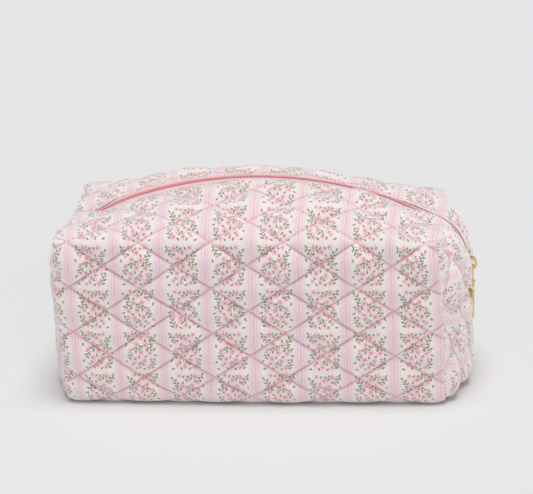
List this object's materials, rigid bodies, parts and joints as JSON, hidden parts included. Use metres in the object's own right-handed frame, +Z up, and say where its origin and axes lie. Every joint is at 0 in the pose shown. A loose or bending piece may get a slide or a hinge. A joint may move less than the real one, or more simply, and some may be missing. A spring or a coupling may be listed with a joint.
{
  "type": "quilted makeup bag",
  "caption": "Boxy quilted cotton makeup bag with a zip over the top from end wall to end wall and a gold slider with a long bar pull.",
  "frame": {"origin": "middle of the resting face on the underside", "axes": "+Z up, +X towards the end wall where the zip slider rests closed, -Y towards the front wall"},
  "size_m": [0.2675, 0.12, 0.13],
  "materials": {
    "printed_cotton": "matt printed cotton",
    "wadding": "soft polyester wadding",
    "lining_cotton": "matt plain cotton",
    "zip_tape": "woven polyester tape",
    "zip_coil": "dyed nylon coil",
    "binding": "matt cotton tape",
    "gold_metal": "polished pale gold plate"
  },
  "bodies": {
    "root": {"body_cover": "printed_cotton", "body_wadding": "wadding", "body_lining": "lining_cotton", "corner_seam_bindings": "binding", "left_end_seam_binding": "binding", "right_end_seam_binding": "binding"},
    "front_mouth": {"front_top_cover": "printed_cotton", "front_top_wadding": "wadding", "front_top_lining": "lining_cotton", "front_zip_tape": "zip_tape", "front_zip_coil": "zip_coil"},
    "back_mouth": {"back_top_cover": "printed_cotton", "back_top_wadding": "wadding", "back_top_lining": "lining_cotton", "back_zip_tape": "zip_tape", "back_zip_coil": "zip_coil"},
    "slider": {"slider_body": "gold_metal", "slider_crown": "gold_metal"},
    "pull_link": {"pull_link": "gold_metal"},
    "pull_bar": {"pull_bar": "gold_metal"}
  },
  "joints": [
    {"name": "zip_travel", "type": "hinge", "parent": "root", "child": "slider", "pos_m": [0.00247, 0, 0.01471], "axis": [0, -1, 0], "range_deg": [0, 114.5]},
    {"name": "front_mouth_open", "type": "hinge", "parent": "root", "child": "front_mouth", "pos_m": [0, -0.0508, 0.1135], "axis": [1, 0, 0], "range_deg": [0, 45], "deforming": ["front_zip_tape", "front_zip_coil"]},
    {"name": "back_mouth_open", "type": "hinge", "parent": "root", "child": "back_mouth", "pos_m": [0, 0.0508, 0.1135], "axis": [-1, 0, 0], "range_deg": [0, 45], "deforming": ["back_zip_tape", "back_zip_coil"]},
    {"name": "pull_link_swing", "type": "hinge", "parent": "slider", "child": "pull_link", "pos_m": [0.1337, 0, 0.0712], "axis": [0, -1, 0], "range_deg": [0, 120]},
    {"name": "pull_bar_swing", "type": "hinge", "parent": "pull_link", "child": "pull_bar", "pos_m": [0.1337, 0, 0.0607], "axis": [0, -1, 0], "range_deg": [0, 50]}
  ],
  "couplings": [
    {"joint": "front_mouth_open", "follows": "zip_travel", "ratio": 0.3916},
    {"joint": "back_mouth_open", "follows": "zip_travel", "ratio": 0.3916}
  ]
}
